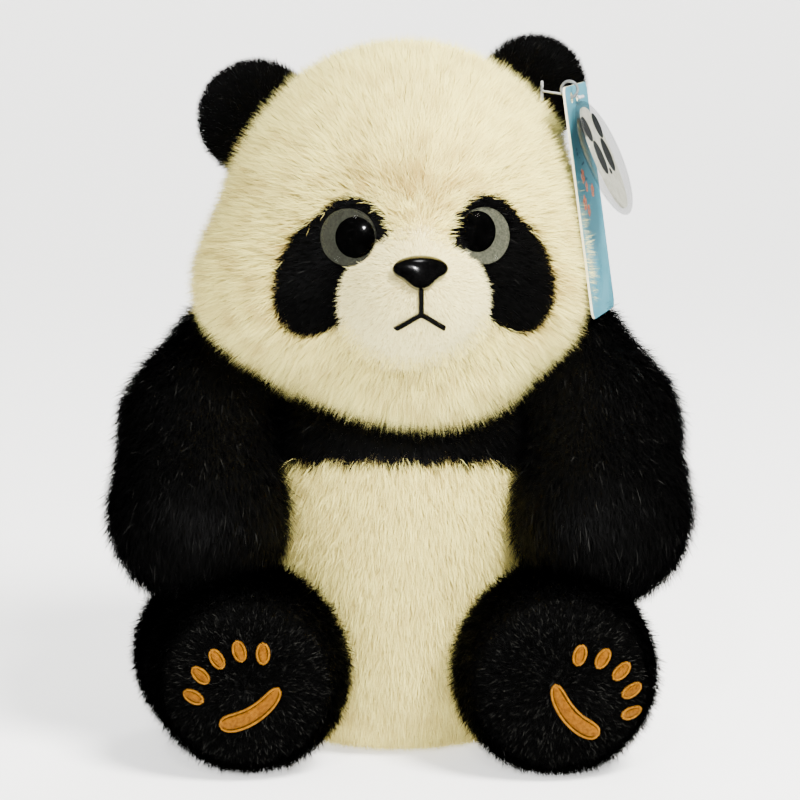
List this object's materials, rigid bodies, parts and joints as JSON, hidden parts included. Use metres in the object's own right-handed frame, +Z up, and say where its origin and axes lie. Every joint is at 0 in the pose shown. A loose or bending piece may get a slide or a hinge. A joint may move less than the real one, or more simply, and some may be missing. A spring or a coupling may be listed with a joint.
{
  "type": "plush panda",
  "caption": "Sitting plush panda with a round head, embroidered soles, glossy eyes and nose, a turning head, swinging arms and legs, folding ears, and a hanging tag with a clear charm",
  "frame": {"origin": "middle of the flat seat that the toy rests on, under the neck", "axes": "+X to the viewer's right as seen from the front, +Y to the back of the toy, +Z up; the face looks along -Y"},
  "size_m": [0.1918, 0.1553, 0.2439],
  "materials": {
    "black_plush": "matte",
    "short_black_plush": "matte",
    "cream_plush": "matte",
    "short_cream_plush": "matte",
    "fibre_filling": "matte",
    "pellets": "matte",
    "eye_back_plastic": "gloss",
    "pupil_black": "gloss",
    "clear_dome": "gloss",
    "washer_plastic": "matte",
    "nose_plastic": "gloss",
    "black_thread": "satin",
    "gold_thread": "satin",
    "clear_loop": "gloss",
    "tag_board": "satin",
    "ring_plastic": "gloss",
    "charm_clear": "gloss",
    "charm_print": "satin"
  },
  "bodies": {
    "torso": {"shoulder_yoke": "black_plush", "belly_panel": "cream_plush", "back_panel_left": "cream_plush", "back_panel_right": "cream_plush", "base_panel": "cream_plush", "torso_stuffing": "fibre_filling", "pellet_bag": "pellets", "tail_skin": "cream_plush", "tail_stuffing": "fibre_filling"},
    "neck": {"neck_stuffing": "fibre_filling"},
    "head": {"head_front_skin": "cream_plush", "head_back_skin": "cream_plush", "head_stuffing": "fibre_filling", "muzzle_skin": "short_cream_plush", "muzzle_stuffing": "fibre_filling", "eye_patch_left": "black_plush", "eye_patch_right": "black_plush", "eye_cup_left": "eye_back_plastic", "eye_cup_right": "eye_back_plastic", "eye_pupil_left": "pupil_black", "eye_pupil_right": "pupil_black", "eye_lens_left": "clear_dome", "eye_lens_right": "clear_dome", "eye_washers": "washer_plastic", "nose": "nose_plastic", "nose_washer": "washer_plastic", "mouth_stitching": "black_thread"},
    "ear_left": {"ear_left_skin": "black_plush", "ear_left_stuffing": "fibre_filling"},
    "ear_right": {"ear_right_skin": "black_plush", "ear_right_stuffing": "fibre_filling", "tag_fastener": "clear_loop"},
    "arm_left": {"arm_left_skin": "black_plush", "arm_left_stuffing": "fibre_filling"},
    "arm_right": {"arm_right_skin": "black_plush", "arm_right_stuffing": "fibre_filling"},
    "leg_left": {"leg_left_skin": "black_plush", "leg_left_sole": "short_black_plush", "leg_left_stuffing": "fibre_filling", "leg_left_toe_pads": "gold_thread", "leg_left_heel_pad": "gold_thread"},
    "leg_right": {"leg_right_skin": "black_plush", "leg_right_sole": "short_black_plush", "leg_right_stuffing": "fibre_filling", "leg_right_toe_pads": "gold_thread", "leg_right_heel_pad": "gold_thread"},
    "tag": {"tag_card": "tag_board", "charm_ring": "ring_plastic"},
    "charm": {"charm_shell": "charm_clear", "charm_insert": "charm_print"}
  },
  "joints": [
    {"name": "head_turn", "type": "hinge", "parent": "torso", "child": "neck", "pos_m": [0, 0, 0.128], "axis": [0, 0, 1], "range_deg": [-18, 18], "stiffness_Nm_per_rad": 0.35},
    {"name": "head_nod", "type": "hinge", "parent": "neck", "child": "head", "pos_m": [0, 0, 0.128], "axis": [1, 0, 0], "range_deg": [-4, 4], "stiffness_Nm_per_rad": 1.6},
    {"name": "ear_left_fold", "type": "hinge", "parent": "head", "child": "ear_left", "pos_m": [-0.04831, 0.00138, 0.21524], "axis": [0.6398, 0.0616, 0.766], "range_deg": [-9, 9], "stiffness_Nm_per_rad": 0.12},
    {"name": "ear_right_fold", "type": "hinge", "parent": "head", "child": "ear_right", "pos_m": [0.04192, 0.01006, 0.22078], "axis": [0.728, 0.0701, -0.682], "range_deg": [-9, 9], "stiffness_Nm_per_rad": 0.12},
    {"name": "arm_left_swing", "type": "hinge", "parent": "torso", "child": "arm_left", "pos_m": [-0.066, 0.003, 0.114], "axis": [-1, 0, 0], "range_deg": [0, 45], "stiffness_Nm_per_rad": 0.05},
    {"name": "arm_right_swing", "type": "hinge", "parent": "torso", "child": "arm_right", "pos_m": [0.066, 0.003, 0.114], "axis": [-1, 0, 0], "range_deg": [0, 45], "stiffness_Nm_per_rad": 0.05},
    {"name": "leg_left_lift", "type": "hinge", "parent": "torso", "child": "leg_left", "pos_m": [-0.05, -0.02, 0.035], "axis": [-1, 0, 0], "range_deg": [0, 10], "stiffness_Nm_per_rad": 0.6},
    {"name": "leg_right_lift", "type": "hinge", "parent": "torso", "child": "leg_right", "pos_m": [0.05, -0.02, 0.035], "axis": [-1, 0, 0], "range_deg": [0, 10], "stiffness_Nm_per_rad": 0.6},
    {"name": "tag_swing", "type": "hinge", "parent": "ear_right", "child": "tag", "pos_m": [0.06, -0.009, 0.224], "axis": [-0.2504, -0.9681, 0], "range_deg": [0, 20]},
    {"name": "charm_swing", "type": "hinge", "parent": "tag", "child": "charm", "pos_m": [0.06024, -0.01836, 0.22436], "axis": [-0.2504, -0.9681, 0], "range_deg": [-4, 25]}
  ]
}
